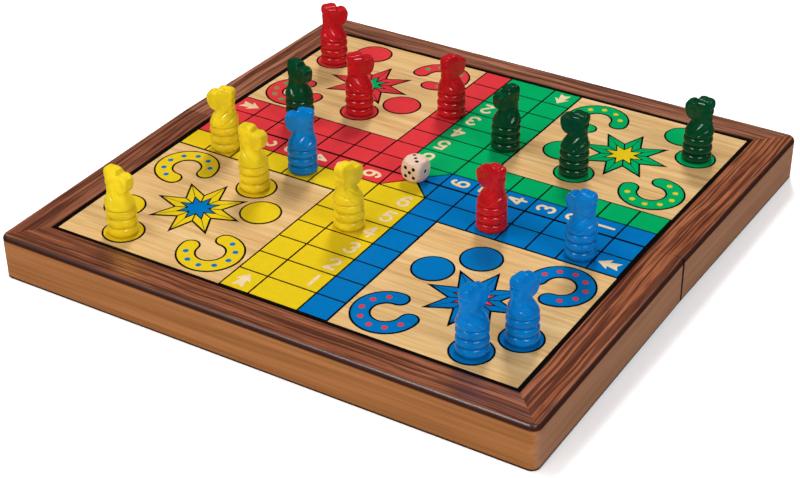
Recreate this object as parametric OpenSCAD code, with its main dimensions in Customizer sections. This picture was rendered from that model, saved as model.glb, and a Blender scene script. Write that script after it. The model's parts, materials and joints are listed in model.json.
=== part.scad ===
// Folding ludo case: two hinged wooden trays whose outer faces carry the
// playing print, with sixteen horse pawns and a die standing on it.
// +Z is up, +Y points away from the player at the front edge, and the origin
// is under the middle of the fold, at the foot of the hinge barrels. The open
// board rests on those barrels and on its outer rims, so each half slopes a little.

/* [Board] */
// Outer side of the opened square board
board_size = 300; // [270:1:330]
// Thickness of each tray, from rim to rail top
board_height = 25; // [22:0.5:30]
// Width of a rail as seen from above
rail_w = 18; // [14:0.5:22]
// Width of the ledge that carries the printed panel
ledge_w = 5; // [3:0.5:8]
// Radius of the upright outer corners
corner_r = 4.5; // [3.5:0.5:8]
// Radius of the rails' outer top edge
top_round = 3; // [1:0.5:3]
// Radius of the rails' outer bottom edge
foot_round = 0.8; // [0.4:0.1:2]
// Thickness of the plywood panel
panel_t = 4; // [3:0.5:6]
// How far the panel lies below the rail tops
panel_drop = 0.5; // [0.3:0.1:1]
// Thickness of the rail beside the fold
fold_rail_t = 14; // [12.5:0.5:18]
// Gap between the two halves at the fold
fold_gap = 0.3; // [0.2:0.1:1]

/* [Hinges and closure] */
// Distance of each hinge from the middle
hinge_offset = 85; // [50:1:100]
// Length of a hinge along the fold
leaf_length = 32; // [26:1:40]
// Width of one hinge leaf
leaf_width = 11; // [9:0.5:12]
// Thickness of the leaf's brass
leaf_t = 1; // [0.8:0.1:1.4]
// Radius of the hinge barrel
barrel_r = 2.5; // [2:0.1:3]
// Radius of the hinge pin
pin_r = 1.1; // [0.8:0.05:1.2]
// Radius of the disc magnets in the rims
magnet_r = 3; // [2:0.5:4]
// Thickness of the disc magnets
magnet_t = 3; // [2:0.5:5]
// Distance of each magnet from the middle of its rail
magnet_offset = 60; // [30:1:100]

/* [Print] */
// Width of the black border round the field
border_w = 2.65; // [1.5:0.05:4]
// Width of a wide square, in narrow squares
wide_ratio = 1.68; // [1.4:0.02:2]
// Width of the black lines between squares
line_w = 1; // [0.4:0.1:1.2]
// Radius of a home spot, in narrow squares
spot_ratio = 0.63; // [0.5:0.01:0.64]
// Thickness of one layer of ink
ink_t = 0.1; // [0.08:0.01:0.15]

/* [Pawns and die] */
// Height of a horse pawn
horse_height = 36.5; // [32:0.5:40]
// Radius of a pawn's foot
foot_r = 8; // [7:0.1:9]
// Side of the die
die_side = 12; // [10:0.5:14]
// Diameter of the ball that rounds the die, in die sides
die_ball = 1.31; // [1.2:0.01:1.4]

/* [Hidden] */
$fn = 64;

ROSEWOOD = "#7a4a3a";
BEECH = "#c79a63";
BIRCH = "#e2bf88";
BRASS = "#c9a24a";
STEEL = "#b8bcc0";
RED = "#d2232f";
GREEN = "#0b8a4c";
BLUE = "#0a70c0";
YELLOW = "#e6cd1b";
BLACK = "#141210";
IVORY = "#ead2b8";

half = board_size / 2;
slack = 0.2;
rim_z = barrel_r;
// Slope of each half, from the hinge barrels down to the outer rim
tilt = asin(barrel_r / (half - foot_round));
rail_full = rail_w + ledge_w;
ledge_h = board_height - panel_drop - panel_t;
panel_z = rim_z + ledge_h;
ground_z = panel_z + panel_t;
colour_z = ground_z + ink_t;
play_z = colour_z + ink_t;
opening = half - rail_w;
inner = half - rail_full;
field = opening - border_w;
cell = 2 * field / (14 + wide_ratio);
wide = wide_ratio * cell;
spot_r = spot_ratio * cell;
// A square's inner edge nearest the middle, counted in narrow squares
first_edge = wide_ratio / 2;
far = 2 * board_size;
// How far the upright fold face leans over under the panel, before the half slopes
fold_reach = ledge_h * tan(tilt);

// Rails

// Section of a rail: x runs inwards from the outer face, y up from the rim
module rail_section() {
    difference() {
        square([rail_full, board_height]);
        translate([rail_w, ledge_h]) square([rail_full, board_height]);
        difference() {
            translate([-1, board_height - top_round]) square([top_round + 1, top_round + 1]);
            translate([top_round, board_height - top_round]) circle(top_round);
        }
        difference() {
            translate([-1, -1]) square([foot_round + 1, foot_round + 1]);
            translate([foot_round, foot_round]) circle(foot_round);
        }
    }
}

// Straight run of the rail along the front edge
module straight_run() {
    run = board_size - 2 * corner_r;
    translate([-run / 2, -half, rim_z]) rotate([90, 0, 90]) linear_extrude(run) rail_section();
}

// Rounded outer corner at the front left
module round_corner() {
    translate([corner_r - half, corner_r - half, rim_z])
        rotate([0, 0, 180])
        rotate_extrude(angle = 90)
        intersection() {
            translate([corner_r, 0]) mirror([1, 0]) rail_section();
            square([corner_r, board_height]);
        }
}

// Upright wedge that keeps what lies inside an outline
module wedge(outline) {
    linear_extrude(board_height + rim_z + 1) polygon(outline);
}

// Rail along the player's edge, mitred at both ends and bored for the magnets
module outer_rail() {
    difference() {
        intersection() {
            union() {
                straight_run();
                round_corner();
                mirror([1, 0, 0]) round_corner();
            }
            wedge([[0, 0], [-far, -far], [far, -far]]);
        }
        magnet_places() cylinder(h = 2 * (magnet_t + slack), r = magnet_r + 0.05, center = true);
    }
}

// Room beyond the fold face, which stands upright once the half slopes
module beyond_fold() {
    translate([0, 0, rim_z]) rotate([-tilt, 0, 0]) translate([-far, -fold_gap / 2, -far]) cube(2 * far);
}

// Left rail of the front tray, mitred at the corner and upright at the fold
module side_rail() {
    difference() {
        intersection() {
            union() {
                rotate([0, 0, -90]) straight_run();
                round_corner();
            }
            wedge([[-1, -1], [-far, -far], [-far, far], [-1, far]]);
        }
        beyond_fold();
    }
}

// Panels and fold rails

module panel() {
    reach = opening - slack;
    difference() {
        translate([-reach, -reach, panel_z]) cube([2 * reach, reach + 1, panel_t]);
        beyond_fold();
    }
}

// Rail under the panel beside the fold, cut for the hinges
module fold_rail() {
    difference() {
        translate([-inner, -fold_gap / 2 - fold_rail_t, rim_z]) cube([2 * inner, fold_rail_t + 1, ledge_h]);
        beyond_fold();
        hinge_places() {
            translate([-leaf_length / 2 - slack, -leaf_width - slack, -1])
                cube([leaf_length + 2 * slack, leaf_width + 1, leaf_t + 1]);
            rotate([0, 90, 0]) cylinder(h = leaf_length + 4, r = barrel_r + 0.3, center = true);
            screw_places() cylinder(h = screw_length + slack, r = shank_r + 0.05);
        }
    }
}

// Hinges: each leaf lies flush with the rim, and the barrel turns on the fold line

knuckle_gap = 0.3;
knuckle_end = leaf_length / 6;
pin_head_t = 0.5;
pin_head_r = 1.7;
pin_clearance = 0.05;
screw_length = 9;
screw_spacing = 10;
shank_r = 1;
head_r = 1.9;
head_t = 0.9;

// A hinge to the left or right of the middle, as its half is seen from its own edge
module hinge(side) {
    translate([side * hinge_offset, 0, rim_z]) children();
}

module hinge_places() {
    for (side = [-1, 1]) hinge(side) children();
}

module screw_places() {
    for (i = [-1:1]) translate([i * screw_spacing, -0.62 * leaf_width, 0]) children();
}

// Knuckle between two places along the barrel, with the tongue that joins it to its leaf
module knuckle(from, to) {
    translate([from, 0, 0]) rotate([0, 90, 0]) cylinder(h = to - from, r = barrel_r);
    translate([from, -leaf_width, 0]) cube([to - from, leaf_width, leaf_t]);
}

// Leaf plate clear of the barrel, with its countersunk holes and the pin's bore
module leaf(spans) {
    difference() {
        union() {
            translate([-leaf_length / 2, -leaf_width, 0])
                cube([leaf_length, leaf_width - barrel_r - 0.3, leaf_t]);
            for (span = spans) knuckle(span[0], span[1]);
        }
        rotate([0, 90, 0]) cylinder(h = 2 * leaf_length, r = pin_r + pin_clearance, center = true);
        screw_places() {
            translate([0, 0, -1]) cylinder(h = leaf_t + 2, r = shank_r + 0.05);
            translate([0, 0, -0.01]) cylinder(h = head_t + 0.06, r1 = head_r + 0.1, r2 = shank_r + 0.05);
        }
    }
}

module outer_leaf() {
    color(BRASS) leaf([[-leaf_length / 2, -knuckle_end - knuckle_gap], [knuckle_end + knuckle_gap, leaf_length / 2]]);
}

module middle_leaf() {
    color(BRASS) leaf([[-knuckle_end, knuckle_end]]);
}

module hinge_pin() {
    color(STEEL) rotate([0, 90, 0]) {
        cylinder(h = leaf_length + 0.2, r = pin_r, center = true);
        for (side = [0, 1]) mirror([0, 0, side])
            translate([0, 0, leaf_length / 2 + 0.05]) cylinder(h = pin_head_t, r = pin_head_r);
    }
}

// One countersunk wood screw, head down and flush with the leaf
module screw() {
    tip = 2;
    translate([0, 0, 0.05]) cylinder(h = head_t, r1 = head_r, r2 = shank_r);
    translate([0, 0, head_t]) cylinder(h = screw_length - head_t - tip, r = shank_r);
    translate([0, 0, screw_length - tip]) cylinder(h = tip, r1 = shank_r, r2 = 0.2);
}

module hinge_screws() {
    color(BRASS) hinge_places() screw_places() screw();
}

// Magnets let into the rim, opposite each other when the case is shut

module magnet_places() {
    for (side = [-1, 1]) translate([side * magnet_offset, rail_full / 2 - half, rim_z]) children();
}

module magnets() {
    color(STEEL) magnet_places() translate([0, 0, 0.1]) cylinder(h = magnet_t, r = magnet_r);
}

// Print: a black ground, with the coloured squares and spots laid over it

// Places of a home's four spots, counted in narrow squares from the field's corner
SPOTS = [[1.85, 0.82], [0.95, 2], [4.8, 3.75], [3.83, 4.9]];

// The four spots of the home at the front right
module spot_places() {
    for (spot = SPOTS) translate([field - spot[0] * cell, spot[1] * cell - field]) children();
}

// Rectangle between two corners given in narrow squares, less half a line all round
module tile(low, high) {
    translate([low[0] * cell + line_w / 2, low[1] * cell + line_w / 2])
        square([(high[0] - low[0]) * cell - line_w, (high[1] - low[1]) * cell - line_w]);
}

module tray_half() {
    translate([-far, -far]) square([2 * far, far + fold_reach - fold_gap / 2]);
}

module black_print() {
    reach = opening - slack;
    arm = wide / 2 + cell + line_w / 2;
    color(BLACK) translate([0, 0, ground_z]) linear_extrude(ink_t) intersection() {
        union() {
            difference() {
                square(2 * reach, center = true);
                square(2 * field, center = true);
            }
            square([2 * arm, 2 * field + border_w], center = true);
            square([2 * field + border_w, 2 * arm], center = true);
            for (side = [0, 1]) mirror([side, 0]) spot_places() circle(spot_r + line_w / 2);
        }
        tray_half();
    }
}

// Squares of the player at this edge: wide column, left column, row to the left, home spots
module near_print() {
    e = first_edge;
    translate([0, 0, colour_z]) linear_extrude(ink_t) {
        for (i = [0:6]) {
            tile([-e, -e - i - 1], [e, -e - i]);
            tile([-e - 1, -e - i - 1], [-e, -e - i]);
        }
        for (i = [1:6]) tile([-e - i - 1, -e - 1], [-e - i, -e]);
        polygon([[0, -line_w], [line_w - e * cell, -e * cell + line_w / 2],
                 [e * cell - line_w, -e * cell + line_w / 2]]);
        mirror([1, 0]) spot_places() circle(spot_r - line_w / 2);
    }
}

// Squares of the player to the right: right column, row to the right, half the wide row
module right_print() {
    e = first_edge;
    translate([0, 0, colour_z]) linear_extrude(ink_t) {
        for (i = [0:6]) tile([e, -e - i - 1], [e + 1, -e - i]);
        for (i = [1:6]) tile([e + i, -e - 1], [e + i + 1, -e]);
        spot_places() circle(spot_r - line_w / 2);
        far_right_print();
    }
}

// Half of a wide row, cut off at the fold, with half of its triangle
module far_right_print() {
    e = first_edge;
    intersection() {
        union() {
            for (i = [0:6]) tile([e + i, -e], [e + i + 1, e]);
            polygon([[line_w, 0], [e * cell - line_w / 2, line_w - e * cell],
                     [e * cell - line_w / 2, e * cell - line_w]]);
        }
        tray_half();
    }
}

module left_print() {
    translate([0, 0, colour_z]) linear_extrude(ink_t) mirror([1, 0]) far_right_print();
}

// Horse pawns

neck_foot = 0.4 * horse_height;
neck_top = 0.69 * horse_height;
ring_r = neck_foot / 6;
ring_step = 0.1;
crease = 0.8;
chest_r = foot_r - 0.25;
throat_r = 3.9;
// Roundness of the chest's lower edge
chest_edge = 0.6;
// How far the chest's swell reaches up the neck: 1 is halfway, more is higher
swell = 1.2;
// Half width of the neck at a share of its height: a bell that narrows upwards
function neck_r(t) = throat_r + (chest_r - throat_r) * (1 + cos(180 * pow(t, swell))) / 2;

// Head and mane are drawn on a pawn of this height
drawn_height = 36.5;
// Side view of the head: x forwards, y up
HEAD = [[-4, 23.4], [1.6, 23.4], [5, 24.4], [7.1, 26.6], [7.6, 31.6], [6.6, 33.1], [0.5, 34.5], [-4, 34.5]];
// The head seen from above, narrowing towards the nose
HEAD_PLAN = [[-4.5, -3.7], [0, -3.7], [8, -3.1], [8, 3.1], [0, 3.7], [-4.5, 3.7]];
// Side view of the cropped mane, from the flat poll down the back of the neck
CREST = [[-5, 19], [1.2, 19], [1.4, 30], [0.8, drawn_height], [-5, drawn_height]];
// Rolls of hair on the back of the mane: place in that view, and radius
ROLLS = [[-4.1, 33.9, 2.4], [-4.2, 29.7, 2.3], [-4.3, 25.6, 2.3], [-4.6, 21.4, 2.3]];
mane_w = 7.8;
mane_corner = 2.6;
mane_back = -6.5;

// Three stacked rings under the chest
module rings() {
    for (i = [0:2]) translate([0, 0, (2 * i + 1) * ring_r])
        rotate_extrude() translate([foot_r - ring_step * i - ring_r, 0]) circle(ring_r);
    cylinder(h = neck_foot, r = foot_r - crease);
}

module neck() {
    steps = 8;
    rotate_extrude() polygon([
        [0, neck_foot - chest_edge], [chest_r - chest_edge, neck_foot - chest_edge], [chest_r, neck_foot + chest_edge],
        for (i = [1:steps]) [neck_r(i / steps), neck_foot + (neck_top - neck_foot) * i / steps],
        [0, neck_top]
    ]);
}

// What a side view and a view from above both cover
module carved() {
    intersection() {
        rotate([90, 0, 0]) linear_extrude(2 * foot_r, center = true) children(0);
        linear_extrude(drawn_height + 1) children(1);
    }
}

module head() {
    carved() {
        polygon(HEAD);
        polygon(HEAD_PLAN);
    }
}

// Mane rolled over the poll and down the back of the neck
module mane() {
    straight = mane_w / 2 - mane_corner;
    carved() {
        union() {
            polygon(CREST);
            for (roll = ROLLS) translate([roll[0], roll[1]]) circle(roll[2]);
        }
        union() {
            translate([mane_back + mane_corner, -mane_w / 2]) square([foot_r, mane_w]);
            translate([mane_back, -straight]) square([foot_r, 2 * straight]);
            for (side = [-1, 1]) translate([mane_back + mane_corner, side * straight]) circle(mane_corner);
        }
    }
}

module horse() {
    rings();
    neck();
    scale(horse_height / drawn_height) {
        head();
        mane();
    }
}

// Where the pawns stand, in narrow squares from the middle, and the way each one faces
RED_PLACES = [[-6.87, 5.77, 45], [-3.97, 2.9, 45], [-1.3, 4.4, 75], [3.42, -1.28, 172]];
GREEN_PLACES = [[-5.3, 1.33, -15], [1.37, 3.28, 252], [4.01, 2.9, 180], [6.91, 5.85, 180]];
BLUE_PLACES = [[-3.37, -1.3, 204], [6.38, -1.28, 177], [6, -7, 76], [6.92, -5.86, 76]];
YELLOW_PLACES = [[-6.34, -1.36, 197], [-4.06, -2.94, 0], [-5.99, -7.02, -3], [-0.32, -3.32, 76]];

module horse_at(place) {
    on_half(place[1]) translate([place[0] * cell, place[1] * cell, play_z]) rotate([0, 0, place[2]]) horse();
}

// Die: a cube rounded by a ball, with drilled and painted pips

DIE_PLACE = [-0.02, 0.04];
die_turn = -3;
pip_r = 0.079 * die_side;
pip_depth = 0.5;
paint_t = 0.3;
pip_step = 0.4 * die_side / 2;
// Pips of each number, on a grid of -1, 0 and 1
PIPS = [
    [[0, 0]],
    [[-1, 1], [1, -1]],
    [[-1, 1], [0, 0], [1, -1]],
    [[-1, -1], [-1, 1], [1, -1], [1, 1]],
    [[-1, -1], [-1, 1], [0, 0], [1, -1], [1, 1]],
    [[-1, -1], [-1, 0], [-1, 1], [1, -1], [1, 0], [1, 1]]
];
// Turns that bring the top face to each face, for the numbers 1 to 6
FACE_TURNS = [[0, 90, 0], [-90, 0, 0], [0, 0, 0], [180, 0, 0], [90, 0, 0], [0, -90, 0]];

module die_place() {
    front() translate([DIE_PLACE[0] * cell, DIE_PLACE[1] * cell, play_z + die_side / 2])
        rotate([0, 0, die_turn]) children();
}

// Floors of all the pips, each seen looking down on its own face
module pip_places() {
    for (n = [0:5]) rotate(FACE_TURNS[n]) for (pip = PIPS[n])
        translate([pip[0] * pip_step, pip[1] * pip_step, die_side / 2 - pip_depth]) children();
}

module die() {
    color(IVORY) die_place() difference() {
        intersection() {
            cube(die_side, center = true);
            sphere(d = die_side * die_ball);
        }
        pip_places() cylinder(h = 2 * pip_depth, r = pip_r);
    }
}

module die_pips() {
    color(BLACK) die_place() pip_places() cylinder(h = paint_t, r = pip_r);
}

// How the halves stand

// The front half slopes about the hinge axis
module front() {
    translate([0, 0, rim_z]) rotate([tilt, 0, 0]) translate([0, 0, -rim_z]) children();
}

// The back half is the front one turned half a turn about the fold's middle
module back() {
    rotate([0, 0, 180]) front() children();
}

// What stands on the board leans with the half that carries it
module on_half(y) {
    if (y < 0) front() children();
    else back() rotate([0, 0, 180]) children();
}

color(ROSEWOOD) front() outer_rail();  // front_rail
color(ROSEWOOD) front() side_rail();  // front_left_rail
color(ROSEWOOD) front() mirror([1, 0, 0]) side_rail();  // front_right_rail
color(BEECH) front() fold_rail();  // front_fold_rail
color(BIRCH) front() panel();  // front_panel
front() black_print();  // front_black_print
color(YELLOW) front() near_print();  // front_yellow_print
color(BLUE) front() right_print();  // front_blue_print
color(RED) front() left_print();  // front_red_print
front() magnets();  // front_magnets
front() hinge_screws();  // front_hinge_screws
front() hinge(-1) outer_leaf();  // left_hinge_front_leaf
back() hinge(1) middle_leaf();  // left_hinge_back_leaf
front() hinge(-1) hinge_pin();  // left_hinge_pin
front() hinge(1) outer_leaf();  // right_hinge_front_leaf
back() hinge(-1) middle_leaf();  // right_hinge_back_leaf
front() hinge(1) hinge_pin();  // right_hinge_pin
color(ROSEWOOD) back() outer_rail();  // back_rail
color(ROSEWOOD) back() mirror([1, 0, 0]) side_rail();  // back_left_rail
color(ROSEWOOD) back() side_rail();  // back_right_rail
color(BEECH) back() fold_rail();  // back_fold_rail
color(BIRCH) back() panel();  // back_panel
back() black_print();  // back_black_print
color(GREEN) back() near_print();  // back_green_print
color(RED) back() right_print();  // back_red_print
color(BLUE) back() left_print();  // back_blue_print
back() magnets();  // back_magnets
back() hinge_screws();  // back_hinge_screws
for (i = [0:3]) {
    color(RED) horse_at(RED_PLACES[i]);
    color(GREEN) horse_at(GREEN_PLACES[i]);
    color(BLUE) horse_at(BLUE_PLACES[i]);
    color(YELLOW) horse_at(YELLOW_PLACES[i]);
}
die();
die_pips();
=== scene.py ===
"""Looks of a folding ludo case with its horse pawns and die.

Shapes are worked out in millimetres on the flat board: x to the right, y away from the front
player, z up from the trays' rims. stand() slopes them with their half and turns them to metres.
"""

import json
import math

import bpy
import numpy as np
from mathutils import Matrix, Vector


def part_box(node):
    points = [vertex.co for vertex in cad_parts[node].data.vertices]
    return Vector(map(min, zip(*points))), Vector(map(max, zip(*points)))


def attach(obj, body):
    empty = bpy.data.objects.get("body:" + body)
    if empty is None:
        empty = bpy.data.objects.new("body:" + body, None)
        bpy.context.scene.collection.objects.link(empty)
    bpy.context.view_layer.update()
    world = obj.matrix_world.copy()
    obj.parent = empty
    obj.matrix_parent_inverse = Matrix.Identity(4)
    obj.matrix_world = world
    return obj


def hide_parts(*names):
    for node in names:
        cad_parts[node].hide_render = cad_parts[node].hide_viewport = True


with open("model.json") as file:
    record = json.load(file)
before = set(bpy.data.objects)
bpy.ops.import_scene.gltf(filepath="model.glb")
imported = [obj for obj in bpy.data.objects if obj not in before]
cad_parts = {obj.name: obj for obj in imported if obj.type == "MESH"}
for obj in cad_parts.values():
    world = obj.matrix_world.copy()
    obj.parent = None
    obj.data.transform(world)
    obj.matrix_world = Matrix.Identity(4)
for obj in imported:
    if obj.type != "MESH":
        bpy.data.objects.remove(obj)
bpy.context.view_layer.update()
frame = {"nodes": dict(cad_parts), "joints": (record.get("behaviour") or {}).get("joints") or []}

# Sizes of the board, in millimetres, from the frame and the drawing
MM = 0.001
fold = next(joint for joint in frame["joints"] if joint["name"] == "fold")
RIM = fold["pos_m"][2] / MM
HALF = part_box("front_right_rail")[1].x / MM
FOOT_ROUND = 0.8
TILT = math.asin(RIM / (HALF - FOOT_ROUND))
# Slope of each half about the hinge axis
SLOPES = {"front": TILT, "back": -TILT}
RAIL_W = 18.0
RAIL_TOP = 25.0
TOP_ROUND = 3.0
PANEL_TOP = 24.5
INK_T = 0.1
# Top of the print, on which the pieces stand
PLAY = PANEL_TOP + 2 * INK_T
BORDER = 2.65
FIELD = HALF - RAIL_W - BORDER
# Narrow squares along an arm, and the width of a wide square in narrow ones
ARM = 7
WIDE = 1.68
CELL = 2 * FIELD / (2 * ARM + WIDE)
# Half widths of the field and of an arm's middle row, and the width of an outline, in narrow squares
FIELD_CELLS = FIELD / CELL
EDGE = WIDE / 2
LINE = 1.0 / CELL

# Pawns: place in narrow squares from the middle, and the way each one faces in degrees
PAWNS = {
    "red": [(-6.87, 5.77, 45), (-3.97, 2.9, 45), (-1.3, 4.4, 75), (3.42, -1.28, 172)],
    "green": [(-5.3, 1.33, -15), (1.37, 3.28, 252), (4.01, 2.9, 180), (6.91, 5.85, 180)],
    "blue": [(-3.37, -1.3, 204), (6.38, -1.28, 177), (6, -7, 76), (6.92, -5.86, 76)],
    "yellow": [(-6.34, -1.36, 197), (-4.06, -2.94, 0), (-5.99, -7.02, -3), (-0.32, -3.32, 76)],
}
DIE_SPOT = (-0.02, 0.04)
DIE_TURN = -3.0


# Meshes

def stand(points, half):
    """Slopes flat-board points about the hinge axis with their half, in metres."""
    turn = SLOPES[half]
    x, y, z = np.moveaxis(np.asarray(points, float), -1, 0)
    across = y * math.cos(turn) - z * math.sin(turn)
    up = RIM + y * math.sin(turn) + z * math.cos(turn)
    return np.stack((x, across, up), -1) * MM


def turned(points, degrees):
    """Points turned left about the upright axis."""
    turn = math.radians(degrees)
    c, s = math.cos(turn), math.sin(turn)
    return points @ np.array([(c, s, 0), (-s, c, 0), (0, 0, 1)])


def loft(rings):
    """Closed skin over rings of points (rows, around, 3), with a cap on the first and the last ring: its
    points, the corners of its faces one after another, and how many corners each face has."""
    rows, around = rings.shape[:2]
    index = np.arange(rows * around).reshape(rows, around)
    beside = np.roll(index, -1, 1)
    quads = np.stack((index[:-1], beside[:-1], beside[1:], index[1:]), -1)
    corners = np.concatenate((quads.ravel(), index[0, ::-1], index[-1]))
    counts = np.append(np.full(beside[:-1].size, 4), (around, around))
    return rings.reshape(-1, 3), corners, counts


def piece(name, skins, material, body, smooth=False):
    """One object made of closed skins, riding on a body and taking its finish from a slot."""
    points, corners, counts = zip(*skins)
    ends = np.cumsum([len(part) for part in points])
    starts = np.append(0, ends[:-1])
    corners = np.concatenate([part + start for part, start in zip(corners, starts)])
    counts = np.concatenate(counts)
    mesh = bpy.data.meshes.new(name)
    mesh.vertices.add(int(ends[-1]))
    mesh.vertices.foreach_set("co", np.concatenate(points).ravel())
    mesh.loops.add(len(corners))
    mesh.loops.foreach_set("vertex_index", corners)
    mesh.polygons.add(len(counts))
    mesh.polygons.foreach_set("loop_start", np.cumsum(counts) - counts)
    mesh.polygons.foreach_set("use_smooth", np.full(len(counts), smooth))
    mesh.materials.append(material)
    mesh.update(calc_edges=True)
    made = bpy.data.objects.new(name, mesh)
    bpy.context.scene.collection.objects.link(made)
    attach(made, body)
    return made


# Horse pawns

# Stack of rings under the chest: its height, and half the height of one ring
NECK_FOOT = 14.6
RINGS = 3
RING_R = NECK_FOOT / (2 * RINGS)
# Radius of the lowest ring, its step from one to the next, and roundness of their edges
FOOT_R = 8.0
RING_STEP = 0.1
RING_EDGE = 2.9
# How far one ring reaches into the next
RING_LAP = 0.05
# Bell-shaped neck: height of the throat, radius at the chest, height and depth of the chest's rounded edge,
# and radius at the throat
NECK_TOP = 25.2
CHEST_R = 7.75
CHEST_EDGE = 1.4
CHEST_DROP = 0.9
THROAT_R = 4.9
# How far the chest's swell reaches up the neck: 1 is halfway, more is higher
SWELL = 1.2
# How far the throat lies behind the foot's middle, and how much flatter its sides are
LEAN = -1.7
FLATTER = 0.3
# How far the neck reaches into the rings below and into the head above
NECK_LAP = 0.1
THROAT_LAP = 3.0
# Eases the level distance to the bell, which is longer than the true one on its slopes
BELL_EASE = 0.8
# Side view of the head, x forwards and z up, turning left, and roundness of its edges
HEAD = np.array([
    (-4, 23.3), (4.4, 23.3), (6.5, 24.6), (7.8, 27.3),
    (8.1, 31.6), (7, 33), (4.5, 33.9), (-4, 33.9),
])
HEAD_EDGE = 0.36
# Groove across the forehead in front of the mane: place in the side view and radius
GROOVE = (2.7, 34.5)
GROOVE_R = 1.3
# Half width of the head at the cheek and how much it narrows with each millimetre forwards
CHEEK_W = 3.7
CHEEK_TAPER = 0.07
# Cropped mane: front edge at the poll, and how far it runs forwards with each millimetre down
POLL = 36.5
POLL_FRONT = 1.5
POLL_SLANT = 0.1
# Its foot, straight back and half width, the radius of its back corners, and how far back it reaches
MANE_FOOT = 21.0
MANE_STRAIGHT = -4.6
MANE_W = 3.9
MANE_CORNER = 3.0
MANE_BACK = -7.3
# Height from which its sides draw in, and how fast
DRAW_FROM = 30.5
DRAW = 0.05
# Its dome, and the rolls of hair down its back, as place in the side view and radius
DOME = (-1.3, 31.9)
DOME_R = 4.6
ROLLS = [(-4.2, 32.8, 3.3), (-4.2, 28.4, 2.4), (-4.3, 24.6, 2.0)]
# Roundness of the edges in its side view, and of those between its back, sides and top
OUTLINE_EDGE = 0.25
MANE_EDGE = 0.45
# Widths of the fillets between the rolls, and where the neck, the head and the mane run into the rest
ROLL_FILLET = 0.15
NECK_FILLET = 0.1
HEAD_FILLET = 0.7
MANE_FILLET = 0.45
# Carved locks on both sides of the neck: slope in the side view, spacing and depth
LOCK_SLOPE = -0.85
LOCK_STEP = 4.4
LOCK_DEPTH = 0.5
# Where the locks end in height, forwards and towards the middle, and over how much they fade out there
LOCK_LOW = 15.2
LOW_FADE = 1.5
LOCK_HIGH = 26.5
HIGH_FADE = 2.5
LOCK_FRONT = 3.2
FRONT_FADE = 1.0
LOCK_SIDE = 0.8
SIDE_FADE = 1.2
# Eyes: place of one, which the other mirrors, radius and depth
EYE = (3.8, 3.45, 30.6)
EYE_R = 0.7
EYE_DEPTH = 0.35
# Rows of rays that find a pawn's skin: level ones, a bridge, and a fan of angles from the head's core
AROUND = 120
LEVEL_ROWS = 110
LEVEL_LOW = 0.04
LEVEL_TOP = 22.0
BRIDGE_ROWS = 12
FAN_ROWS = 92
FAN_LOW = math.radians(-50)
FAN_HIGH = math.radians(87)
CORE_AHEAD = 0.3
CORE_HEIGHT = 29.3
# How often a ray steps on, and the share of the distance left that each step goes
STEPS = 60
STEP_SHARE = 0.8


def soft_least(a, b, width):
    """Smaller of two distances, with the crease between them filled over a width."""
    share = np.clip(0.5 + 0.5 * (b - a) / width, 0, 1)
    return b + (a - b) * share - width * share * (1 - share)


def soft_most(values, width):
    """Greatest of several distances, with the edges between them rounded over a width."""
    top = np.max(values, 0)
    return top + width * np.log(np.sum(np.exp((values - top) / width), 0))


def ring_distance(rho, z):
    """Three discs with gently rounded edges, each a little narrower than the one below, and sharp creases
    between them."""
    found = np.full(np.broadcast(rho, z).shape, np.inf)
    for i in range(RINGS):
        up = z - (2 * i + 1) * RING_R
        edge = np.hypot(np.maximum(rho - (FOOT_R - RING_STEP * i - RING_EDGE), 0), up) - RING_EDGE
        found = np.minimum(found, np.maximum(edge, np.abs(up) - RING_R - RING_LAP))
    return found


def neck_distance(x, y, z):
    """Bell whose radius falls from chest to throat as a cosine of the height, while it leans back and its
    sides draw in; its lower edge is rounded."""
    share = np.clip((z - NECK_FOOT) / (NECK_TOP - NECK_FOOT), 0, 1)
    rho = np.hypot(x - LEAN * share, y * (1 + FLATTER * share**2))
    radius = THROAT_R + (CHEST_R - THROAT_R) * (1 + np.cos(math.pi * share**SWELL)) / 2
    radius = radius - CHEST_DROP * np.clip((NECK_FOOT + CHEST_EDGE - z) / CHEST_EDGE, 0, 1) ** 2
    ends = np.maximum(NECK_FOOT - NECK_LAP - z, z - NECK_TOP - THROAT_LAP)
    return np.maximum(BELL_EASE * (rho - radius), ends)


def head_distance(x, y, z):
    """Side outline as the greatest distance from its edges, cut by a groove and by cheeks that taper
    forwards."""
    ahead = np.roll(HEAD, -1, 0) - HEAD
    length = np.hypot(*ahead.T)
    sides = [(dz * (x - px) - dx * (z - pz)) / n for (px, pz), (dx, dz), n in zip(HEAD, ahead, length)]
    cheek = np.abs(y) - CHEEK_W + CHEEK_TAPER * np.maximum(x, 0)
    groove = GROOVE_R - np.hypot(x - GROOVE[0], z - GROOVE[1])
    return soft_most(np.stack(sides + [cheek, groove]), HEAD_EDGE)


def mane_distance(x, y, z):
    """Upright block with a domed top and rolls on its back, drawn in a little upwards and round at the
    corners."""
    front = x - POLL_FRONT - POLL_SLANT * (POLL - z)
    dome = np.hypot(x - DOME[0], np.maximum(z - DOME[1], 0)) - DOME_R
    side = soft_most(np.stack((front, MANE_STRAIGHT - x, dome, MANE_FOOT - z)), OUTLINE_EDGE)
    for px, pz, radius in ROLLS:
        side = soft_least(side, np.hypot(x - px, z - pz) - radius, ROLL_FILLET)
    wide = np.abs(y) - MANE_W + DRAW * np.maximum(z - DRAW_FROM, 0) ** 2
    past = np.maximum(MANE_BACK + MANE_CORNER - x, 0)
    plan = np.hypot(past, np.maximum(np.abs(y) - MANE_W + MANE_CORNER, 0)) - MANE_CORNER
    return soft_most(np.stack((side, wide, plan)), MANE_EDGE)


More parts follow.
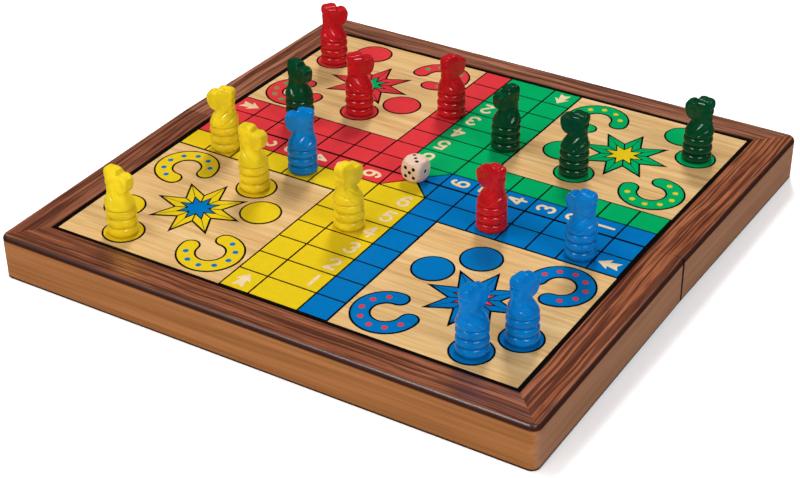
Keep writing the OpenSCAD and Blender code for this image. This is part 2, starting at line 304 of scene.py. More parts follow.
def carving(x, y, z):
    """Depth carved away: slanting locks with sharp valleys on both sides of the neck, as a sine across
    their slope, and the eyes, as round dents."""
    across = (z - NECK_FOOT - LOCK_SLOPE * x) / math.hypot(1, LOCK_SLOPE)
    valley = (1 - np.abs(np.sin(math.pi * across / LOCK_STEP))) ** 2
    ends = ((z - LOCK_LOW) / LOW_FADE, (LOCK_HIGH - z) / HIGH_FADE)
    sides = ((LOCK_FRONT - x) / FRONT_FADE, (np.abs(y) - LOCK_SIDE) / SIDE_FADE)
    place = np.prod([np.clip(fade, 0, 1) for fade in ends + sides], 0)
    eye = (x - EYE[0]) ** 2 + (np.abs(y) - EYE[1]) ** 2 + (z - EYE[2]) ** 2
    return LOCK_DEPTH * valley * place + EYE_DEPTH * np.exp(-eye / EYE_R**2)


def horse_distance(points):
    """Distance to a pawn's skin: rings, chest, head and mane run together as moulded plastic does."""
    x, y, z = np.moveaxis(points, -1, 0)
    found = soft_least(ring_distance(np.hypot(x, y), z), neck_distance(x, y, z), NECK_FILLET)
    found = soft_least(found, head_distance(x, y, z), HEAD_FILLET)
    found = soft_least(found, mane_distance(x, y, z), MANE_FILLET)
    return found + carving(x, y, z)


def stepped_out(start, way, distance):
    """Points where rays from a start first leave a shape: each step goes most of the distance left."""
    length = np.zeros(way.shape[:2])
    for _ in range(STEPS):
        length -= STEP_SHARE * distance(start + length[..., None] * way)
    return start + length[..., None] * way


def rays(rise, turn):
    """Directions of a grid of rays, by their angle above level and their turn about the axis."""
    flat = np.cos(rise)
    return np.stack(np.broadcast_arrays(flat * np.cos(turn), flat * np.sin(turn), np.sin(rise)), -1)


def horse_rings():
    """Skin of one pawn: rays leave its axis level up to the neck, then fan out from the head's core."""
    level = np.maximum(np.linspace(0, LEVEL_TOP, LEVEL_ROWS), LEVEL_LOW)
    bridge = np.linspace(0, 1, BRIDGE_ROWS + 2)[1:-1]
    lift = CORE_HEIGHT - LEVEL_TOP
    height = np.concatenate((level, LEVEL_TOP + lift * bridge, np.full(FAN_ROWS, CORE_HEIGHT)))
    ahead = np.concatenate((0 * level, CORE_AHEAD * bridge, np.full(FAN_ROWS, CORE_AHEAD)))
    rise = np.concatenate((0 * level, FAN_LOW * bridge, np.linspace(FAN_LOW, FAN_HIGH, FAN_ROWS)))
    turn = np.linspace(0, 2 * math.pi, AROUND, endpoint=False)
    start = np.stack((ahead, 0 * ahead, height), -1)[:, None, :]
    rings = stepped_out(start, rays(rise[:, None], turn[None, :]), horse_distance)
    rings[0, :, 2] = 0
    return rings


def pawns(materials):
    """Sixteen pawns, each in its own place on the half that carries it."""
    rings = horse_rings()
    for colour, places in PAWNS.items():
        for number, (x, y, facing) in enumerate(places, 1):
            placed = turned(rings, facing) + (x * CELL, y * CELL, PLAY)
            skin = loft(stand(placed, "front" if y < 0 else "back"))
            name, node = f"{colour}_pawn_{number}", f"{colour}_horse_{number}"
            made = piece(name, [skin], materials[colour], node, True)
            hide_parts(node)


# Die

# Half its width, radius of the ball that rounds its corners, and roundness of its edges
DIE_HALF = 6.0
DIE_BALL_R = 7.86
DIE_EDGE = 0.35
# Radius, spacing and depth of the pips
PIP_R = 1.0
PIP_STEP = 2.4
PIP_DEPTH = 0.45
# For the numbers 1 to 6: where the pips' first and second axes and the face itself point
FACES = [
    ((0, 0, -1), (0, 1, 0), (1, 0, 0)),
    ((1, 0, 0), (0, 0, -1), (0, 1, 0)),
    ((1, 0, 0), (0, 1, 0), (0, 0, 1)),
    ((1, 0, 0), (0, -1, 0), (0, 0, -1)),
    ((1, 0, 0), (0, 0, 1), (0, -1, 0)),
    ((0, 0, 1), (0, 1, 0), (-1, 0, 0)),
]
PIPS = [
    [(0, 0)],
    [(-1, 1), (1, -1)],
    [(-1, 1), (0, 0), (1, -1)],
    [(-1, -1), (-1, 1), (1, -1), (1, 1)],
    [(-1, -1), (-1, 1), (0, 0), (1, -1), (1, 1)],
    [(-1, -1), (-1, 0), (-1, 1), (1, -1), (1, 0), (1, 1)],
]
# Rows of rays that find the die's skin, how near they come to upright in degrees, and rays in a row
DIE_ROWS = 180
DIE_POLE = 89.6
DIE_AROUND = 240


def die_distance(points):
    """Cube and ball whichever is farther, their edges run together, less a shallow bore for each pip."""
    sides = np.moveaxis(np.abs(points) - DIE_HALF, -1, 0)
    ball = np.linalg.norm(points, axis=-1) - DIE_BALL_R
    found = soft_most(np.concatenate((sides, ball[None])), DIE_EDGE)
    for axes, pips in zip(FACES, PIPS):
        across, along, out = (points @ np.array(axis, float) for axis in axes)
        for u, v in pips:
            off = np.hypot(across - u * PIP_STEP, along - v * PIP_STEP) - PIP_R
            found = np.maximum(found, -np.maximum(off, DIE_HALF - PIP_DEPTH - out))
    return found


def die(material):
    """The die, stepped out from its middle, across the fold on the front half."""
    rise = np.radians(np.linspace(-DIE_POLE, DIE_POLE, DIE_ROWS))
    turn = np.linspace(0, 2 * math.pi, DIE_AROUND, endpoint=False)
    rings = stepped_out(np.zeros(3), rays(rise[:, None], turn[None, :]), die_distance)
    placed = turned(rings, DIE_TURN) + (DIE_SPOT[0] * CELL, DIE_SPOT[1] * CELL, PLAY + DIE_HALF)
    made = piece("tumbled_die", [loft(stand(placed, "front"))], material, "die", True)
    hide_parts("die")


# Printed marks

# Points along an arc and round a stroke's half-round end
ARC_POINTS = 24
END_POINTS = 7
# Half the width left at a stroke's very tip, in narrow squares
TIP = 1e-4
# Share of a straight stretch between a corner and the point that keeps it sharp
NEAR_CORNER = 0.02


def prism(outline, low, high):
    """Flat plate between two heights with an outline that turns left, in narrow squares."""
    flat = np.asarray(outline, float) * CELL
    return np.stack([np.column_stack((flat, np.full(len(flat), z))) for z in (low, high)])


def ribbon(path, width, low, high):
    """Flat stroke of a width along a path in narrow squares, with half-round ends."""
    path = np.asarray(path, float)
    first, last = path[0] - path[1], path[-1] - path[-2]
    first, last = first / np.linalg.norm(first), last / np.linalg.norm(last)
    swing = np.linspace(0, math.pi / 2, END_POINTS)[1:]
    reach = width / 2 * np.sin(swing)[:, None]
    line = np.concatenate(((path[0] + reach * first)[::-1], path, path[-1] + reach * last))
    taper = np.concatenate((np.cos(swing)[::-1], np.ones(len(path)), np.cos(swing)))
    along = np.gradient(line, axis=0)
    along /= np.linalg.norm(along, axis=1)[:, None]
    left = np.stack((-along[:, 1], along[:, 0]), -1) * (taper * width / 2 + TIP)[:, None]
    sides = [(line + left, low), (line + left, high), (line - left, high), (line - left, low)]
    return np.stack([np.column_stack((side * CELL, np.full(len(side), z))) for side, z in sides], 1)


def arc(centre, reach, start, end, count=ARC_POINTS):
    """Points along an ellipse's arc, from one angle in degrees to another."""
    turn = np.radians(np.linspace(start, end, count))
    return np.column_stack((centre[0] + reach[0] * np.cos(turn), centre[1] + reach[1] * np.sin(turn)))


def straight(start, end):
    """Points along a straight line, with close points beside its ends to keep them sharp."""
    start, end = np.array(start, float), np.array(end, float)
    share = np.array([0, NEAR_CORNER, 0.5, 1 - NEAR_CORNER, 1])[:, None]
    return start + share * (end - start)


# Strokes of the numbers 1 to 6, in narrow squares about each number's middle
NUMBERS = [
    [
        straight((0, 0.27), (0, -0.27)),
    ],
    [
        arc((0, 0.12), (0.15, 0.15), 165, -35),
        straight((0.125, 0.04), (-0.14, -0.27)),
        straight((-0.14, -0.27), (0.16, -0.27)),
    ],
    [
        arc((0, 0.135), (0.14, 0.135), 155, -80),
        arc((0, -0.125), (0.155, 0.145), 80, -155),
    ],
    [
        straight((0.06, 0.27), (-0.17, -0.09)),
        straight((-0.17, -0.09), (0.18, -0.09)),
        straight((0.07, 0.25), (0.07, -0.27)),
    ],
    [
        straight((0.14, 0.27), (-0.1, 0.27)),
        straight((-0.1, 0.27), (-0.13, 0.02)),
        arc((0, -0.1), (0.155, 0.17), 145, -155),
    ],
    [
        arc((0.015, -0.05), (0.17, 0.32), 58, 170, 16),
        arc((0, -0.11), (0.155, 0.16), 165, -20),
        arc((0, -0.11), (0.155, 0.16), 165, 345),
    ],
]
STROKE_WIDTH = 0.105
# How much higher each stroke of a number lies than the one before, in millimetres
LAYER = 0.012
ARROW = np.array([
    (0, 0.36), (-0.26, -0.02), (-0.1, 0.03), (-0.19, -0.35),
    (0, -0.25), (0.19, -0.35), (0.1, 0.03), (0.26, -0.02),
])
# For each arm, from the front one round by the right: the halves with its numbers and with its arrow
ARM_HALVES = [("front", "front"), ("back", "front"), ("back", "back"), ("front", "back")]


def quarter(points, turns):
    """Turns points left about the board's middle by whole quarters."""
    return np.asarray(points) @ np.linalg.matrix_power(np.array([(0, 1), (-1, 0)]), turns)


def cream_marks(material):
    """Numbers 1 to 6 in each wide arm and one arrow beside each arm, left bare of ink."""
    low, high = PLAY - INK_T / 2, PLAY + INK_T / 2
    # Middle of an arm's outermost square
    outermost = -EDGE - ARM + 0.5
    skins = {"front": [], "back": []}
    for turns, (number_half, arrow_half) in enumerate(ARM_HALVES):
        for number, strokes in enumerate(NUMBERS, 1):
            for layer, stroke in enumerate(strokes):
                placed = quarter(stroke + (EDGE / 2, outermost + number), turns)
                skins[number_half].append(ribbon(placed, STROKE_WIDTH, low, high + layer * LAYER))
        placed = quarter(ARROW + (-EDGE - 0.5, outermost), turns)
        skins[arrow_half].append(prism(placed, low, high))
    for half, rings in skins.items():
        made = [loft(stand(ring, half)) for ring in rings]
        piece(f"{half}_bare_marks", made, material, f"{half}_half")


# Ornaments of the homes

# Where each home lies from the middle, and the second ink of its ornament
HOME_SIDES = {"red": (-1, 1), "green": (1, 1), "blue": (1, -1), "yellow": (-1, -1)}
ACCENT = {"red": "green", "green": "yellow", "blue": "red", "yellow": "blue"}
# Star of facets and the small star in its middle, in narrow squares from the field's corner: place, number
# of corners, and how far the points and the valleys of each reach
STAR_PLACE = np.array((3.0, 3.0))
STAR_CORNERS = 16
STAR_R = 1.42
STAR_VALLEY = 0.72
HEART_R = 0.6
HEART_VALLEY = 0.3
# How much of its triangle a facet fills along each side
FACET = 0.88
# Horseshoes: place and the way the arch points in degrees, then radius, width and half the sweep of the
# arch, and number, half the sweep and radius of its nail spots
SHOE_PLACES = [((1.2, 4.8), 135), ((4.8, 1.2), 315)]
SHOE_R = 0.74
SHOE_W = 0.5
SHOE_SWEEP = 135
SHOE_POINTS = 40
NAILS = 7
NAIL_SWEEP = 110
NAIL_R = 0.09


def home(points, colour):
    """Places points, given in narrow squares from the field's corner, in a colour's home."""
    return (FIELD_CELLS - np.asarray(points)) * HOME_SIDES[colour]


def wound_left(outline):
    """The outline, turned round if it runs to the right."""
    x, y = np.asarray(outline).T
    area = np.sum(x * np.roll(y, -1) - y * np.roll(x, -1))
    return outline if area > 0 else outline[::-1]


def star(reach, valley):
    """Corners of an eight-pointed star, by turns on two circles."""
    corner = np.arange(STAR_CORNERS)
    turn = 2 * math.pi * corner / STAR_CORNERS
    out = np.where(corner % 2 == 0, reach, valley)
    return STAR_PLACE + np.column_stack((np.cos(turn), np.sin(turn))) * out[:, None]


def home_motif(colour):
    """Star of sixteen facets with a small star in its middle, and two horseshoes with nail spots: black
    outlines first, then the two inks."""
    black, main, accent = [], [], []
    base = (PANEL_TOP - INK_T / 2, PANEL_TOP + INK_T)
    low = PANEL_TOP + INK_T / 2

    def plate(outline, *heights):
        return prism(wound_left(home(outline, colour)), *heights)

    black.append(plate(star(STAR_R + 2 * LINE, STAR_VALLEY + LINE), *base))
    corners = star(STAR_R, STAR_VALLEY)
    for first, second in zip(corners, np.roll(corners, -1, 0)):
        facet = np.array((STAR_PLACE, first, second))
        main.append(plate(facet.mean(0) + (facet - facet.mean(0)) * FACET, low, PLAY))
    black.append(plate(star(HEART_R + 2 * LINE, HEART_VALLEY + LINE), low, PLAY + INK_T / 4))
    accent.append(plate(star(HEART_R, HEART_VALLEY), low, PLAY + INK_T / 2))
    for place, facing in SHOE_PLACES:
        shoe = arc(place, (SHOE_R, SHOE_R), facing - SHOE_SWEEP, facing + SHOE_SWEEP, SHOE_POINTS)
        black.append(ribbon(home(shoe, colour), SHOE_W + 2 * LINE, *base))
        main.append(ribbon(home(shoe, colour), SHOE_W, low, PLAY))
        for nail in arc(place, (SHOE_R, SHOE_R), facing - NAIL_SWEEP, facing + NAIL_SWEEP, NAILS):
            spot = arc(nail, (NAIL_R, NAIL_R), 0, 360 - 360 / ARC_POINTS)
            accent.append(plate(spot, low, PLAY + INK_T / 4))
    return black, main, accent


def motifs(inks):
    """The four homes' ornaments, on the half that carries each."""
    for colour, (_, side) in HOME_SIDES.items():
        half = "front" if side < 0 else "back"
        shades = {"outline": "black", "figure": colour, "accent": ACCENT[colour]}
        for (name, shade), rings in zip(shades.items(), home_motif(colour)):
            made = [loft(stand(ring, half)) for ring in rings]
            piece(f"{colour}_home_{name}", made, inks[shade, half], f"{half}_half")


# Materials

# Colours as sRGB hex
INK_HEX = {"red": "#D5373D", "green": "#00A25C", "blue": "#006EB2", "yellow": "#DCBD1A", "black": "#0A0706"}
PLASTIC_HEX = {"red": "#BC161E", "green": "#034023", "blue": "#0276C2", "yellow": "#E8CA20"}
# Woods from dark to light; the strips of veneer differ a little from rail to rail, and the pale strip is a
# lighter copy of the veneer that paints a sheen of light onto the back half's long and left rails
RED_STRIP = ("#78432F", "#89523A", "#9A5F46")
WARM_STRIP = ("#7F442B", "#905436", "#A26142")
TAWNY_STRIP = ("#8A4B30", "#9D5C3B", "#B06A48")
VENEER_AND_SHEEN_STRIP = ("#8A523B", "#9D6449", "#B07357")
# Next two: stain colours of the rails' sides, lifted towards white, the short ones more, as painted
# reflection of the white floor, which is kept out of real reflections
LONG_SIDE_AND_REFLECTION = ("#8A5629", "#A66D3E")
SHORT_SIDE_AND_REFLECTION = ("#8A5F42", "#9C6F52")
BIRCH = ("#C3955F", "#DAB278", "#E7C692")
BARE_BIRCH = ("#D8B98A", "#E4CBA0", "#ECD8B4")
BEECH = ("#A87745", "#C4935C", "#D3A872")
LIME = ("#DDB59A", "#F3DACA")
# Dark stain on a rail's rounded edge; near-black painted shade at a rail's foot, and at the fold on rails'
# ends and on panels' sawn edges
ROUND_STAIN = "#3A1A10"
FOOT_AND_FOLD_SHADE = "#2A110A"
FOLD_GAP_SHADE = "#2A1A10"
# Patterns: length and width of the marks in millimetres, and how much finer noise they hold. Real fibres
# are finer than 0.2 mm and the lines in drawn metal finer than 0.05 mm, and they are drawn wider so that
# they show
VENEER_BANDS = (60, 3.5, 1.0)
SIDE_STREAKS = (120, 2.6, 3.0)
WOOD_STREAKS = (45, 1.5, 2.0)
WOOD_FIBRES = (26, 0.8, 3.0)
INK_FIBRES = (26, 0.7, 3.0)
LIME_FIBRES = (9, 0.5, 3.0)
METAL_LINES = (6, 0.12, 2.0)
# Length in millimetres and fineness of the broad bands in pale wood, and the share of fibres among them
WOOD_BAND_LENGTH = 90
WOOD_BAND_DETAIL = 4.0
FIBRE_SHARE = 0.4
# Noise at which the darker streaks in pale wood set in and are full, and their strength
STREAK_START = 0.56
STREAK_FULL = 0.68
STREAK_STRENGTH = 0.5
# Noise at which each colour of a wood is full, from dark to light
VENEER_STOPS = (0.35, 0.5, 0.66)
SIDE_STOPS = (0.32, 0.66)
WOOD_STOPS = (0.34, 0.5, 0.66)
LIME_STOPS = (0.3, 0.7)
# Mottling: size of the clouds in millimetres, share by which they vary, and the noise over which they do
INK_MOTTLE = (4, 0.02, 0.3, 0.7)
PLASTIC_MOTTLE = (9, 0.1, 0.35, 0.65)
# Size in millimetres of the unevenness in a moulded skin
SKIN_SIZE = 1.6
# Marks in the veneer: length and width in millimetres, the noise at which they set in and are full, strength
# and colour. Real ones are about 0.3 mm wide, and they are drawn wider so that they show
VENEER_LINES = (80, 1.1, 0.45, 0.62, 0.75, "#3A1A12")
VENEER_PORES = (16, 0.9, 0.52, 0.7, 0.4, "#2E140D")
# How far the veneer's grain wanders sideways, and over what length, in millimetres
SWAY = 4
SWAY_LENGTH = 45
# Heights in millimetres over which a rail's finishes set in, and the painted shade at its foot
ROUND_BAND = (RAIL_TOP - TOP_ROUND - 0.8, RAIL_TOP - TOP_ROUND + 0.4)
VENEER_BAND = (RAIL_TOP - 0.9, RAIL_TOP - 0.2)
VARNISH_BAND = (RAIL_TOP - 2.0, RAIL_TOP - 1.2)
FOOT_BAND = (1.7, 1.1)
# Distances from the fold in millimetres over which the painted shade of the fold gap sets in on rails and on
# panels
RAIL_FOLD_SHADE = (1.0, 0.7)
PANEL_FOLD_SHADE = (0.45, 0.25)
# Settings of a soft step between two values, and of a mix of colours, whose output is number 2
SOFT_STEP = {"interpolation_type": "SMOOTHSTEP"}
COLOUR_MIX = {"output": 2, "data_type": "RGBA"}


def linear(colour):
    """Linear RGBA of an sRGB hex value."""
    parts = np.array([int(colour[i:i + 2], 16) for i in (1, 3, 5)]) / 255
    return (*np.where(parts <= 0.04045, parts / 12.92, ((parts + 0.055) / 1.055) ** 2.4), 1.0)


def connect(tree, node, inputs):
    """Links a node's inputs to sockets, or sets them to values."""
    for key, value in inputs.items():
        if isinstance(value, bpy.types.NodeSocket):
            tree.links.new(value, node.inputs[key])
        else:
            node.inputs[key].default_value = value


def add(tree, kind, inputs=None, output=0, stops=(), **settings):
    """Adds a node with its settings, inputs and a ramp's stops, and gives one of its outputs."""
    made = tree.nodes.new(f"ShaderNode{kind}")
    for key, value in settings.items():
        setattr(made, key, value)
    connect(tree, made, inputs or {})
    for i, (place, colour) in enumerate(stops):
        stop = made.color_ramp.elements[i] if i < 2 else made.color_ramp.elements.new(place)
        stop.position, stop.color = place, linear(colour)
    return made.outputs[output]


def finish_of(name):
    """A new material with its tree and shader."""
    made = bpy.data.materials.new(name)
    made.use_nodes = True
    return made, made.node_tree, made.node_tree.nodes["Principled BSDF"]


def tray_point(tree, half):
    """Place on the flat board: the half's slope about the hinge axis undone, z up from the rims."""
    turn = SLOPES[half]
    shift = (0, -RIM * MM * math.sin(turn), -RIM * MM * math.cos(turn))
    place = add(tree, "TexCoord", output="Object")
    return add(tree, "Mapping", {"Vector": place, "Rotation": (-turn, 0, 0), "Location": shift})


def grain(tree, point, along, length, width, detail):
    """Noise drawn out along an axis of the board: its marks are a length and a width in millimetres."""
    long, short = 1 / (length * MM), 1 / (width * MM)
    scale = (long, short, short) if along == "x" else (short, long, short)
    drawn = add(tree, "Mapping", {"Vector": point, "Scale": scale})
    noise = {"Vector": drawn, "Scale": 1.0, "Detail": detail, "Roughness": 0.6}
    return add(tree, "TexNoise", noise, "Fac")


def near_fold(tree, point, band):
    """Rises from 0 to 1 as a place comes nearer to the fold, over a band of distances in millimetres."""
    across = add(tree, "SeparateXYZ", {0: point}, "Y")
    away = add(tree, "Math", {0: across}, operation="ABSOLUTE")
    step = {"Value": away, "From Min": band[0] * MM, "From Max": band[1] * MM}
    return add(tree, "MapRange", step, **SOFT_STEP)


def mottled(tree, point, colour, size, spread, start, full):
    """A colour that clouds between a little darker and a little lighter over a size in millimetres."""
    cloud = add(tree, "TexNoise", {"Vector": point, "Scale": 1 / (size * MM), "Detail": 2.0}, "Fac")
    share = add(tree, "MapRange", {"Value": cloud, "From Min": start, "From Max": full}, **SOFT_STEP)
    base = np.array(linear(colour)[:3])
    dark, light = (*(base * (1 - spread)), 1.0), (*np.minimum(base * (1 + spread), 1), 1.0)
    return add(tree, "Mix", {0: share, 6: dark, 7: light}, **COLOUR_MIX)


def veneer(tree, point, along, strip):
    """Colour and relief of rosewood veneer: broad wandering bands from dark to light, then long thin dark
    lines, and then short pores, which are sunk."""
    wander = {"Vector": point, "Scale": 1 / (SWAY_LENGTH * MM), "Detail": 1.0}
    push = add(tree, "TexNoise", wander, "Color")
    push = add(tree, "VectorMath", {0: push, 1: (-0.5, -0.5, -0.5)}, operation="ADD")
    sway = (0, SWAY * MM, 0) if along == "x" else (SWAY * MM, 0, 0)
    push = add(tree, "VectorMath", {0: push, 1: sway}, operation="MULTIPLY")
    wavy = add(tree, "VectorMath", {0: point, 1: push}, operation="ADD")
    bands = grain(tree, wavy, along, *VENEER_BANDS)
    colour = add(tree, "ValToRGB", {0: bands}, stops=zip(VENEER_STOPS, strip))
    for length, width, start, full, strength, shade in (VENEER_LINES, VENEER_PORES):
        noise = grain(tree, wavy, along, length, width, 0.0)
        marks = add(tree, "MapRange", {"Value": noise, "From Min": start, "From Max": full}, **SOFT_STEP)
        share = add(tree, "Math", {0: marks, 1: strength}, operation="MULTIPLY")
        colour = add(tree, "Mix", {0: share, 6: colour, 7: linear(shade)}, **COLOUR_MIX)
    return colour, add(tree, "Math", {0: bands, 1: marks}, operation="SUBTRACT")


def rosewood_rail(side, along, half, strip, side_and_reflection_hexes, gloss):
    """Varnished rail: red-brown rosewood veneer on top with long thin dark lines and short pores, near-black
    stain on the rounded edge, near-black painted shade at the foot and at the fold, and plain sides coloured
    with a stain, with faint long streaks."""
    made, tree, shader = finish_of(f"varnished_rosewood_{side}_{half}")
    point = tray_point(tree, half)
    height = add(tree, "SeparateXYZ", {0: point}, "Z")
    on_round, on_top, varnished, at_foot = (
        add(tree, "MapRange", {"Value": height, "From Min": low * MM, "From Max": high * MM}, **SOFT_STEP)
        for low, high in (ROUND_BAND, VENEER_BAND, VARNISH_BAND, FOOT_BAND)
    )
    # Painted shade: near-black at the foot, where the board meets the floor, and near the fold, where the
    # gap between the halves lies in shade
    at_fold = near_fold(tree, point, RAIL_FOLD_SHADE)
    shaded_foot_and_fold = add(tree, "Math", {0: at_foot, 1: at_fold}, operation="MAXIMUM")
    top, relief = veneer(tree, point, along, strip)
    streaks = grain(tree, point, along, *SIDE_STREAKS)
    # Side colour: stain with painted reflection of the floor in it
    colour = add(tree, "ValToRGB", {0: streaks}, stops=zip(SIDE_STOPS, side_and_reflection_hexes))
    for share, coat in ((on_round, linear(ROUND_STAIN)), (shaded_foot_and_fold, linear(FOOT_AND_FOLD_SHADE)), (on_top, top)):
        colour = add(tree, "Mix", {0: share, 6: colour, 7: coat}, **COLOUR_MIX)
    connect(tree, shader, {
        "Base Color": colour,
        "Roughness": 0.5,
        "Specular IOR Level": 0.12,
        "Coat Weight": add(tree, "Math", {0: varnished, 1: gloss}, operation="MULTIPLY"),
        "Coat Roughness": 0.3,
        "Normal": add(tree, "Bump", {"Height": relief, "Strength": 0.12, "Distance": 0.1 * MM}),
    })
    return made


def pale_wood(name, half, hexes, width, rough):
    """Sanded light wood with its grain along the fold: broad soft bands and fine darker fibres, and
    near-black painted shade of the fold gap on its sawn edge at the fold."""
    made, tree, shader = finish_of(f"{name}_{half}")
    point = tray_point(tree, half)
    bands = grain(tree, point, "x", WOOD_BAND_LENGTH, width, WOOD_BAND_DETAIL)
    fibres = grain(tree, point, "x", *WOOD_FIBRES)
    blend = add(tree, "Mix", {0: FIBRE_SHARE, 2: bands, 3: fibres})
    colour = add(tree, "ValToRGB", {0: blend}, stops=zip(WOOD_STOPS, hexes))
    noise = grain(tree, point, "x", *WOOD_STREAKS)
    step = {"Value": noise, "From Min": STREAK_START, "From Max": STREAK_FULL}
    streaks = add(tree, "MapRange", step, **SOFT_STEP)
    share = add(tree, "Math", {0: streaks, 1: STREAK_STRENGTH}, operation="MULTIPLY")
    colour = add(tree, "Mix", {0: share, 6: colour, 7: linear(hexes[0])}, **COLOUR_MIX)
    # Painted shade of the fold gap: the wood turns dark near the fold
    fold_shade = near_fold(tree, point, PANEL_FOLD_SHADE)
    connect(tree, shader, {
        "Base Color": add(tree, "Mix", {0: fold_shade, 6: colour, 7: linear(FOLD_GAP_SHADE)}, **COLOUR_MIX),
        "Roughness": rough,
        "Specular IOR Level": 0.15,
        "Normal": add(tree, "Bump", {"Height": fibres, "Strength": 0.12, "Distance": 0.08 * MM}),
    })
    return made


def ink(name, colour, half):
    """Screen-printed ink on varnished plywood: an even satin film, faintly mottled, with the wood's fibres
    just felt through it, and black painted shade of the fold gap on its sawn edge at the fold."""
    made, tree, shader = finish_of(f"{name}_screen_ink_{half}")
    point = tray_point(tree, half)
    film = mottled(tree, point, colour, *INK_MOTTLE)
    # Painted shade of the fold gap: the ink turns black near the fold
    fold_shade = near_fold(tree, point, PANEL_FOLD_SHADE)
    fibres = grain(tree, point, "x", *INK_FIBRES)
    connect(tree, shader, {
        "Base Color": add(tree, "Mix", {0: fold_shade, 6: film, 7: linear(INK_HEX["black"])}, **COLOUR_MIX),
        "Roughness": 0.5,
        "Specular IOR Level": 0.06,
        "Normal": add(tree, "Bump", {"Height": fibres, "Strength": 0.06, "Distance": 0.06 * MM}),
    })
    return made


def plastic(name, colour):
    """Glossy moulded polystyrene: saturated colour, sharp small highlights, and a slight unevenness of
    the skin that breaks them up."""
    made, tree, shader = finish_of(f"{name}_moulded_polystyrene")
    point = add(tree, "TexCoord", output="Object")
    skin = add(tree, "TexNoise", {"Vector": point, "Scale": 1 / (SKIN_SIZE * MM), "Detail": 2.0}, "Fac")
    connect(tree, shader, {
        "Base Color": mottled(tree, point, colour, *PLASTIC_MOTTLE),
        "Roughness": 0.13,
        "IOR": 1.5,
        "Specular IOR Level": 0.26,
        "Normal": add(tree, "Bump", {"Height": skin, "Strength": 0.06, "Distance": 0.1 * MM}),
    })
    return made


def metal(name, colour, rough):
    """Plated metal drawn along the fold: fine lines that stretch the highlights."""
    made, tree, shader = finish_of(name)
    point = add(tree, "TexCoord", output="Object")
    lines = grain(tree, point, "x", *METAL_LINES)
    connect(tree, shader, {
        "Base Color": linear(colour),
        "Metallic": 1.0,
        "Roughness": add(tree, "MapRange", {"Value": lines, "To Min": rough, "To Max": rough + 0.2}),
        "Normal": add(tree, "Bump", {"Height": lines, "Strength": 0.1, "Distance": 0.02 * MM}),
    })
    return made


def die_wood():
    """Bleached lime wood under lacquer: pinkish ivory with faint fibres."""
    made, tree, shader = finish_of("bleached_lime_wood")
    point = add(tree, "TexCoord", output="Object")
    fibres = grain(tree, point, "y", *LIME_FIBRES)
    connect(tree, shader, {
        "Base Color": add(tree, "ValToRGB", {0: fibres}, stops=zip(LIME_STOPS, LIME)),
        "Roughness": 0.35,
        "IOR": 1.5,
    })
    return made


# Finishes of the case, and the pieces made here

def dress(nodes, made):
    """Gives CAD nodes a material in their own slots."""
    for name in nodes:
        for holder in frame["nodes"][name].material_slots:
            holder.material = made


inks = {(name, half): ink(name, colour, half) for name, colour in INK_HEX.items() for half in SLOPES}
# The back half's long and left rails take the pale strip: veneer with a painted sheen of light
for half, long_strip, left_strip in (("front", WARM_STRIP, RED_STRIP), ("back", VENEER_AND_SHEEN_STRIP, VENEER_AND_SHEEN_STRIP)):
    dress([f"{half}_rail"], rosewood_rail("long", "x", half, long_strip, LONG_SIDE_AND_REFLECTION, gloss=1.0))
    for side, strip in (("left", left_strip), ("right", TAWNY_STRIP)):
        dress([f"{half}_{side}_rail"], rosewood_rail(side, "y", half, strip, SHORT_SIDE_AND_REFLECTION, gloss=0.3))
    dress([f"{half}_fold_rail"], pale_wood("sanded_beech", half, BEECH, width=3.0, rough=0.6))
    dress([f"{half}_panel"], pale_wood("birch_plywood", half, BIRCH, width=5.0, rough=0.5))
PRINTS = {"front": ("black", "yellow", "blue", "red"), "back": ("black", "green", "red", "blue")}
for half, colours in PRINTS.items():
    for colour in colours:
        dress([f"{half}_{colour}_print"], inks[colour, half])
dress(["die_pips"], inks["black", "front"])
brass = metal("satin_brass", "#C8A050", rough=0.25)
dress(["front_hinge_screws", "back_hinge_screws"], brass)
dress([f"{side}_hinge_{half}_leaf" for side in ("left", "right") for half in SLOPES], brass)
dress(["left_hinge_pin", "right_hinge_pin"], metal("drawn_steel", "#B4B7BA", rough=0.2))
dress(["front_magnets", "back_magnets"], metal("nickel_plate", "#C4C6C8", rough=0.15))

die(die_wood())
pawns({name: plastic(name, colour) for name, colour in PLASTIC_HEX.items()})
cream_marks(pale_wood("unprinted_birch", "front", BARE_BIRCH, width=4.0, rough=0.45))
motifs(inks)


# Floor, light and camera, in metres

FLOOR_HALF = 4.0
# The sweep's own glow, which lifts it to a clear white
FLOOR_GLOW = 0.4
# Even light from all round
SKY_GLOW = 0.06
# The photograph's viewpoint, the point that it looks at, its roll in degrees and its lens in millimetres
CAMERA_PLACE = Vector((0.41227, -0.68430, 0.48573))
CAMERA_AIM = Vector((0.02330, -0.05390, 0.0265))
CAMERA_ROLL = -0.295
SENSOR_WIDTH = 36.0
LENS = 80.23


def floor():
    """Wide white sweep under the board, lit a little from within and kept out of reflections."""
    corners = [(x * FLOOR_HALF, y * FLOOR_HALF, 0) for x, y in ((-1, -1), (1, -1), (1, 1), (-1, 1))]
    mesh = bpy.data.meshes.new("floor")
    mesh.from_pydata(corners, [], [(0, 1, 2, 3)])
    made, tree, shader = finish_of("white_studio_paper")
    connect(tree, shader, {
        "Base Color": linear("#F4F4F4"),
        "Roughness": 0.9,
        "Specular IOR Level": 0.1,
        "Emission Color": linear("#FFFFFF"),
        "Emission Strength": FLOOR_GLOW,
    })
    mesh.materials.append(made)
    sweep = bpy.data.objects.new("floor", mesh)
    sweep.visible_glossy = False
    bpy.context.scene.collection.objects.link(sweep)


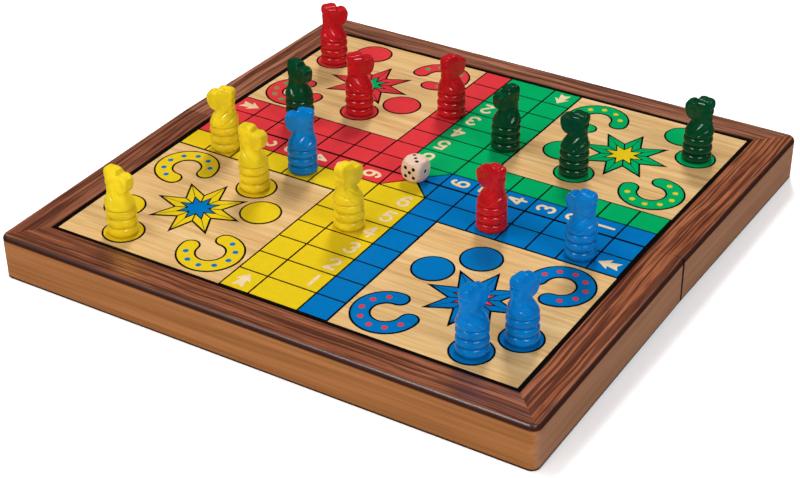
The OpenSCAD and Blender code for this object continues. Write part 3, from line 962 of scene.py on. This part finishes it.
def softbox(name, azimuth, elevation, distance, size, power, colour="#FFFFFF", fill=True, glare=True):
    """Soft light of a width and height aimed at the board, which fills, shows in glossy finishes, or both;
    azimuth 0 is the front player's side, 90 the right."""
    a, e = math.radians(azimuth), math.radians(elevation)
    way = Vector((math.sin(a) * math.cos(e), -math.cos(a) * math.cos(e), math.sin(e)))
    lamp = bpy.data.lights.new(name, "AREA")
    lamp.shape = "RECTANGLE"
    lamp.size, lamp.size_y = size
    lamp.energy = power
    lamp.color = linear(colour)[:3]
    made = bpy.data.objects.new(name, lamp)
    made.location = way * distance
    made.visible_diffuse, made.visible_glossy = fill, glare
    made.rotation_euler = way.to_track_quat("Z", "Y").to_euler()
    bpy.context.scene.collection.objects.link(made)


def sky():
    """Dim white light from all round."""
    world = bpy.context.scene.world or bpy.data.worlds.new("world")
    bpy.context.scene.world = world
    world.use_nodes = True
    background = world.node_tree.nodes["Background"]
    connect(world.node_tree, background, {"Color": linear("#FFFFFF"), "Strength": SKY_GLOW})


def camera():
    """Long lens at the photograph's place: looks past the board's middle with a trace of roll."""
    lens = bpy.data.cameras.new("camera")
    lens.sensor_width = SENSOR_WIDTH
    lens.lens = LENS
    made = bpy.data.objects.new("camera", lens)
    made.location = CAMERA_PLACE
    facing = (CAMERA_AIM - CAMERA_PLACE).to_track_quat("-Z", "Y").to_matrix()
    made.rotation_euler = (facing @ Matrix.Rotation(math.radians(CAMERA_ROLL), 3, "Z")).to_euler()
    bpy.context.scene.collection.objects.link(made)
    bpy.context.scene.camera = made


floor()
# Lamps: azimuth and elevation in degrees, distance, width and height in metres, and power in watts
softbox("back_key", 203, 47, 2.7, (0.55, 0.55), 46, glare=False)
softbox("top_left", -65, 62, 2.7, (1.0, 1.0), 22, glare=False)
softbox("left_fill", -10, 28, 2.9, (2.0, 0.5), 38, "#FFF8F0", glare=False)
softbox("right_fill", 72, 28, 2.9, (1.4, 0.5), 35, "#F6F8FF", glare=False)
softbox("left_glint", -25, 46, 2.9, (1.0, 0.45), 32, fill=False)
softbox("right_glint", 62, 46, 2.9, (1.2, 0.45), 32, fill=False)
softbox("back_glint", 142, 42, 2.9, (0.6, 0.45), 10, fill=False)
sky()
camera()
bpy.context.scene.view_settings.view_transform = "Standard"
